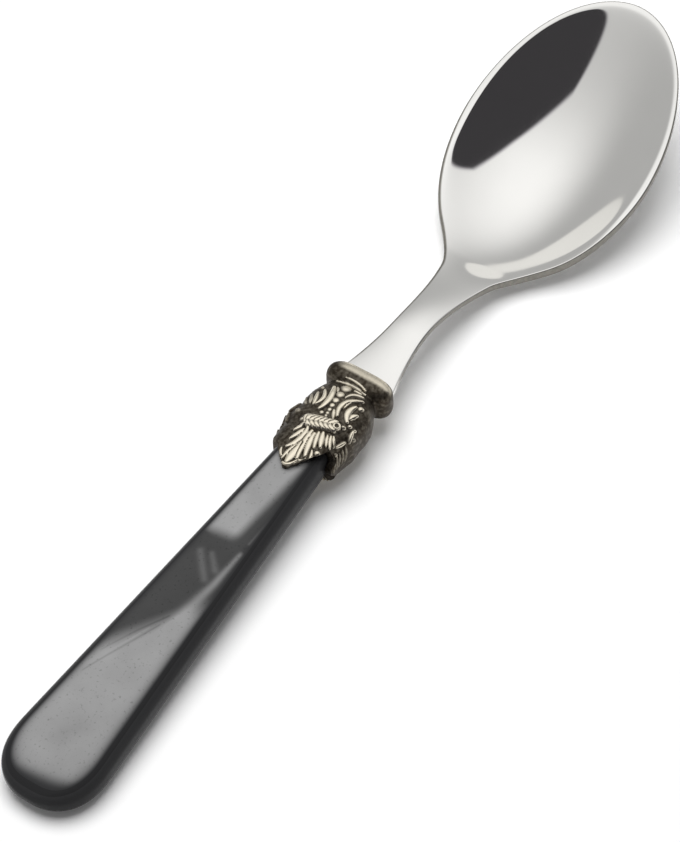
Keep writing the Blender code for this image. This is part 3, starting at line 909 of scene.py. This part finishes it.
    def outside(self):
        """The carved outside by row and column, and each point's rubbed brightness with painted shade."""
        u, across, s = self.grid()
        points = np.concatenate([u[..., None], across], 2)
        normal = np.cross(np.gradient(points, axis=0), np.roll(points, -1, 1) - np.roll(points, 1, 1))
        normal /= np.linalg.norm(normal, axis=2, keepdims=True)
        normal *= np.sign(np.sum(normal[..., 1:] * across, 2, keepdims=True))
        height, crest = carve(u, s)
        # The flanks are carved in the upper half only
        plain = smoothstep(np.abs(s), self.BELOW_HALF, self.PALMETTE_HALF)
        carved = np.where(across[..., 1] < 0, 1 - plain, 1)
        height, crest = height * carved, crest * carved
        # Painted shade: the rubbed brightness is dimmed on steep places, on the left, at the left end
        # of the front ring and on the far flanks
        facing = smoothstep(np.abs(normal[..., 2]), 0.1, 0.8)
        ring = smoothstep(u, 76.6 * MM, 77.3 * MM) * smoothstep(s, -4.6 * MM, -2.6 * MM)
        shade_and_grain = lerp(0.25, 1, smoothstep(s, -4.2 * MM, -2.0 * MM)) * lerp(0.35, 1, facing)
        shade_and_grain *= lerp(1, 0.5, smoothstep(np.abs(s), 5.0 * MM, 5.8 * MM))
        rubbed = lerp(0.06 + 0.94 * smoothstep(crest, 0.25, 0.95), 0.8 * facing, ring) * shade_and_grain
        return points + normal * height[..., None], rubbed

    def inside(self, ends):
        """Rings from the ends of the leaves, over the handle and the chamber, to the tang's slot."""
        rings = []
        for share in np.linspace(0, 1, self.INNER_ROWS):
            u = lerp(ends, HANDLE_END + self.GAP, share)
            reach = [self.over_handle(one, self.GAP) for one in u]
            points = [even_ring(*one, self.QUARTERS)[i] for i, one in enumerate(reach)]
            rings.append(np.concatenate([u[:, None], np.array(points)], 1))
        shoulder = HANDLE_END + self.GAP
        rings += tube(shoulder, CHAMBER_END, *self.CHAMBER, self.bar.CORNER, self.QUARTERS)
        rings += tube(CHAMBER_END, COLLAR_FRONT, *self.SLOT, self.SLOT_CORNER, self.QUARTERS)
        return rings


def antiqued_alloy(settings):
    """Silvered cast alloy, antiqued.

    A dark patina is left in the hollows, and warm bright metal is rubbed out on the high parts.
    The patina colour also serves as painted shade on steep places, on the left and on the far flanks.
    """
    material, tree = new_material("cast_alloy_silvered_antiqued")
    rubbed = add(tree, "Attribute", {"attribute_name": "rubbed"})
    here = add(tree, "TexCoord")
    # Sand-cast grain about 0.5 mm across
    grain = add(tree, "TexNoise", {"Scale": 1 / (0.5 * MM), "Detail": 3.0}, {"Vector": (here, "Object")})
    shade_and_grain = add(tree, "MapRange", NOISE | {"To Min": -0.08, "To Max": 0.08}, {"Value": grain})
    share = add(tree, "Math", {"operation": "ADD", "use_clamp": True}, {0: (rubbed, "Fac"), 1: shade_and_grain})
    tone = add(tree, "Mix", COLOURS | {6: shade(settings.patina), 7: shade(settings.silver)}, {0: share})
    rough = add(tree, "MapRange", {"To Min": 0.5, "To Max": 0.2}, {"Value": share})
    surface(tree, "BsdfPrincipled", {"Metallic": 1.0}, {"Base Color": (tone, 2), "Roughness": rough})
    return material


class SPOON_OT_cast_collar(bpy.types.Operator):
    """Make the cast collar with its moulded ring, carved bulb and leaves"""

    bl_idname = "spoon.cast_collar"
    bl_label = "Cast collar"

    def execute(self, context):
        collar = CastCollar(PearlBar(context.scene.spoon_handle))
        outside, rubbed = collar.outside()
        rings = list(outside) + collar.inside(outside[-1, :, 0])
        mesh = skin("cast_collar", rings, closed=True, sharp=50)
        values = np.zeros(len(mesh.vertices))
        values[: rubbed.size] = rubbed.ravel()
        mark(mesh, "rubbed", values)
        material = antiqued_alloy(context.scene.spoon_collar)
        place(context, "cast_collar", mesh, material, "collar")
        return {"FINISHED"}


# Cement


def cured_cement(settings):
    """Cured epoxy cement: a dull honey colour, clouded by its filler and pocked by fine air bubbles."""
    material, tree = new_material("epoxy_cement_cured")
    here = add(tree, "TexCoord")
    # Filler clouds about 1.5 mm across and bubbles about 0.4 mm across
    cloud = add(tree, "TexNoise", {"Scale": 1 / (1.5 * MM), "Detail": 2.0}, {"Vector": (here, "Object")})
    bubble = add(tree, "TexVoronoi", {"Scale": 1 / (0.4 * MM)}, {"Vector": (here, "Object")})
    tone = add(tree, "Mix", two_shades(settings.cement, 0.75), {0: cloud})
    pocks = add(tree, "Bump", {"Strength": 0.3, "Distance": 0.05 * MM}, {"Height": bubble})
    dull = {"Roughness": 0.45, "IOR": 1.55}
    surface(tree, "BsdfPrincipled", dull, {"Base Color": (tone, 2), "Normal": pocks})
    return material


class SPOON_OT_cured_cement(bpy.types.Operator):
    """Finish the hidden cement round the tang"""

    bl_idname = "spoon.cured_cement"
    bl_label = "Cured cement"

    def execute(self, context):
        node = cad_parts["tang_cement"]
        node.data.materials.clear()
        node.data.materials.append(cured_cement(context.scene.spoon_cement))
        return {"FINISHED"}


# Stage


# The bright panel on the tent's ceiling: its middle, and how far off it fades ahead and behind.
# These are in heights of the ceiling above the spoon
PANEL_MIDDLE = (0.1, 0.05, 1.0)
PANEL_TURN = -0.06
PANEL_AHEAD = (1.7, 1.0, 1.0)
PANEL_BEHIND = (0.78, 1.35, 1.0)
# Strength of the plain tent, of its panel, of its dark opening and of the fill on matt surfaces
TENT_LEVEL = 0.49
PANEL_LEVEL = 1.13
OPENING_LEVEL = 0.05
FILL_LEVEL = 0.36
# The dark opening is what lies short of both planes: each has the way it faces and its reach
OPENING_FRONT = ((0.362, 0.506, 0.783), 0.449)
OPENING_SIDE = ((0.513, 0.856, 0.066), -0.243)
OPENING_SOFT = 0.02
OPENING_TINT = (1.0, 0.96, 1.04)
# Glow of the paper by the distance in metres: far away it is plain white
PAPER_GLOW = {"From Min": 0.12, "From Max": 0.5, "To Min": 0.08, "To Max": 0.85}
# Soft key lamp and camera
KEY_AT = (0.02, 0.09, 0.6)
KEY_SIZE = 0.52
CAMERA_AT = (-0.2484, -0.1638, 0.3759)
CAMERA_AIM = (-0.0004, 0.002, 0.0)


def beyond(tree, way, facing, reach):
    """1 in every direction past a plane and 0 short of it, with a soft change between."""
    front = add(tree, "VectorMath", {"operation": "DOT_PRODUCT", 1: facing}, {0: (way, "Generated")})
    limits = {"From Min": reach - OPENING_SOFT, "From Max": reach + OPENING_SOFT}
    return add(tree, "MapRange", SOFT | limits, {"Value": (front, "Value")})


def studio_tent(world):
    """Light tent: a broad bright panel overhead, dimmer cloth round it and a dark opening."""
    world.use_nodes = True
    tree = world.node_tree
    tree.nodes.clear()
    way = add(tree, "TexCoord")
    axes = add(tree, "SeparateXYZ", None, {"Vector": (way, "Generated")})
    height = add(tree, "Math", {"operation": "MAXIMUM", 1: 0.05}, {0: (axes, "Z")})
    lean = add(tree, "Math", {"operation": "DIVIDE", 0: 1.0}, {1: height})
    ceiling = add(tree, "VectorMath", {"operation": "SCALE"}, {0: (way, "Generated"), "Scale": lean})
    offset = add(tree, "VectorMath", {"operation": "SUBTRACT", 1: PANEL_MIDDLE}, {0: ceiling})
    turning = {"rotation_type": "Z_AXIS", "Angle": PANEL_TURN}
    turned = add(tree, "VectorRotate", turning, {"Vector": offset})
    ahead = add(tree, "VectorMath", {"operation": "MAXIMUM", 1: (0, 0, 0)}, {0: turned})
    behind = add(tree, "VectorMath", {"operation": "MINIMUM", 1: (0, 0, 0)}, {0: turned})
    ahead_share = add(tree, "VectorMath", {"operation": "DIVIDE", 1: PANEL_AHEAD}, {0: ahead})
    behind_share = add(tree, "VectorMath", {"operation": "DIVIDE", 1: PANEL_BEHIND}, {0: behind})
    spread = add(tree, "VectorMath", {"operation": "ADD"}, {0: ahead_share, 1: behind_share})
    square = add(tree, "VectorMath", {"operation": "DOT_PRODUCT"}, {0: spread, 1: spread})
    minus = add(tree, "Math", {"operation": "MULTIPLY", 1: -1.0}, {0: (square, "Value")})
    panel = add(tree, "Math", {"operation": "EXPONENT"}, {0: minus})
    tent = add(tree, "MapRange", {"To Min": TENT_LEVEL, "To Max": PANEL_LEVEL}, {"Value": panel})
    front = beyond(tree, way, *OPENING_FRONT)
    side = beyond(tree, way, *OPENING_SIDE)
    lit = add(tree, "Math", {"operation": "MAXIMUM"}, {0: front, 1: side})
    opened = add(tree, "Mix", {2: OPENING_LEVEL}, {0: lit, 3: tent})
    path = add(tree, "LightPath")
    # The tent fills softly: matt surfaces take most of their light from the key
    matt = (path, "Is Diffuse Ray")
    fill = add(tree, "MapRange", {"To Min": 1.0, "To Max": FILL_LEVEL}, {"Value": matt})
    filled = add(tree, "Math", {"operation": "MULTIPLY"}, {0: opened, 1: fill})
    level = add(tree, "Mix", {3: 1.0}, {0: (path, "Is Camera Ray"), 2: filled})
    plain = add(tree, "Math", {"operation": "MAXIMUM"}, {0: lit, 1: (path, "Is Camera Ray")})
    tint = add(tree, "Mix", COLOURS | {6: shade(OPENING_TINT), 7: (1, 1, 1, 1)}, {0: plain})
    glow = add(tree, "Background", None, {"Color": (tint, 2), "Strength": level})
    add(tree, "OutputWorld", None, {"Surface": glow})


def pale_floor(settings):
    """Matt white paper sweep: it takes the soft shadow of the spoon and is white elsewhere."""
    material, tree = new_material("paper_sweep_matt_white")
    here = add(tree, "TexCoord")
    # Paper tooth about 0.5 mm across
    tooth = add(tree, "TexNoise", {"Scale": 1 / (0.5 * MM), "Detail": 2.0}, {"Vector": (here, "Object")})
    tone = add(tree, "Mix", two_shades(settings.floor, 0.99), {0: tooth})
    paper = add(tree, "BsdfDiffuse", None, {"Color": (tone, 2)})
    path = add(tree, "LightPath")
    rays = {0: (path, "Is Camera Ray"), 1: (path, "Is Glossy Ray")}
    seen = add(tree, "Math", {"operation": "MAXIMUM"}, rays)
    shown = add(tree, "Math", {"operation": "MAXIMUM"}, {0: seen, 1: (path, "Is Transmission Ray")})
    away = add(tree, "VectorMath", {"operation": "LENGTH"}, {0: (here, "Object")})
    lift = add(tree, "MapRange", SOFT | PAPER_GLOW, {"Value": (away, "Value")})
    shown_lift = add(tree, "Math", {"operation": "MULTIPLY"}, {0: shown, 1: lift})
    glow = add(tree, "Emission", None, {"Strength": shown_lift})
    surface(tree, "AddShader", None, {0: paper, 1: glow})
    return material


class SPOON_OT_studio_stage(bpy.types.Operator):
    """Set out the pale floor, the soft light and the camera"""

    bl_idname = "spoon.studio_stage"
    bl_label = "Studio stage"

    def execute(self, context):
        scene = context.scene
        settings = scene.spoon_stage
        scene.view_settings.view_transform = "Standard"
        scene.world = bpy.data.worlds.new("light_tent")
        studio_tent(scene.world)

        mesh = bpy.data.meshes.new("paper_sweep")
        mesh.from_pydata([(-2, -2, 0), (2, -2, 0), (2, 2, 0), (-2, 2, 0)], [], [(0, 1, 2, 3)])
        mesh.materials.append(pale_floor(settings))
        floor = bpy.data.objects.new("paper_sweep", mesh)
        scene.collection.objects.link(floor)

        key = bpy.data.objects.new("soft_key", bpy.data.lights.new("soft_key", "AREA"))
        key.data.shape = "DISK"
        key.data.size = KEY_SIZE
        key.data.energy = settings.key_power
        key.location = KEY_AT
        key.rotation_euler = (-key.location).to_track_quat("-Z", "Y").to_euler()
        key.visible_glossy = False
        scene.collection.objects.link(key)

        camera = bpy.data.objects.new("camera", bpy.data.cameras.new("camera"))
        camera.data.lens = settings.lens / MM
        camera.data.sensor_width = 36.0
        target = Vector(CAMERA_AIM)
        camera.location = Vector(CAMERA_AT)
        camera.rotation_euler = (target - camera.location).to_track_quat("-Z", "Y").to_euler()
        camera.data.clip_start = 0.01
        scene.collection.objects.link(camera)
        scene.camera = camera
        return {"FINISHED"}


# Sidebar and start

OPERATORS = (
    SPOON_OT_studio_stage,
    SPOON_OT_polished_bowl,
    SPOON_OT_pearl_handle,
    SPOON_OT_cast_collar,
    SPOON_OT_cured_cement,
)
SETTINGS = (
    ("spoon_stage", SpoonStageSettings),
    ("spoon_bowl", SpoonBowlSettings),
    ("spoon_handle", SpoonHandleSettings),
    ("spoon_collar", SpoonCollarSettings),
    ("spoon_cement", SpoonCementSettings),
)


class VIEW3D_PT_coffee_spoon(bpy.types.Panel):
    bl_label = "Coffee spoon"
    bl_space_type = "VIEW_3D"
    bl_region_type = "UI"
    bl_category = "Spoon"

    def draw(self, context):
        for (name, group), operator in zip(SETTINGS, OPERATORS):
            box = self.layout.box()
            box.operator(operator.bl_idname)
            for key in group.__annotations__:
                box.prop(getattr(context.scene, name), key)


CLASSES = tuple(group for _, group in SETTINGS) + OPERATORS + (VIEW3D_PT_coffee_spoon,)


def register():
    for cls in CLASSES:
        bpy.utils.register_class(cls)
    for name, group in SETTINGS:
        setattr(bpy.types.Scene, name, bpy.props.PointerProperty(type=group))


def unregister():
    for name, _ in SETTINGS:
        delattr(bpy.types.Scene, name)
    for cls in reversed(CLASSES):
        bpy.utils.unregister_class(cls)


def main():
    register()
    bpy.ops.spoon.studio_stage()
    bpy.ops.spoon.polished_bowl()
    bpy.ops.spoon.pearl_handle()
    bpy.ops.spoon.cast_collar()
    bpy.ops.spoon.cured_cement()


if __name__ == "__main__":
    main()
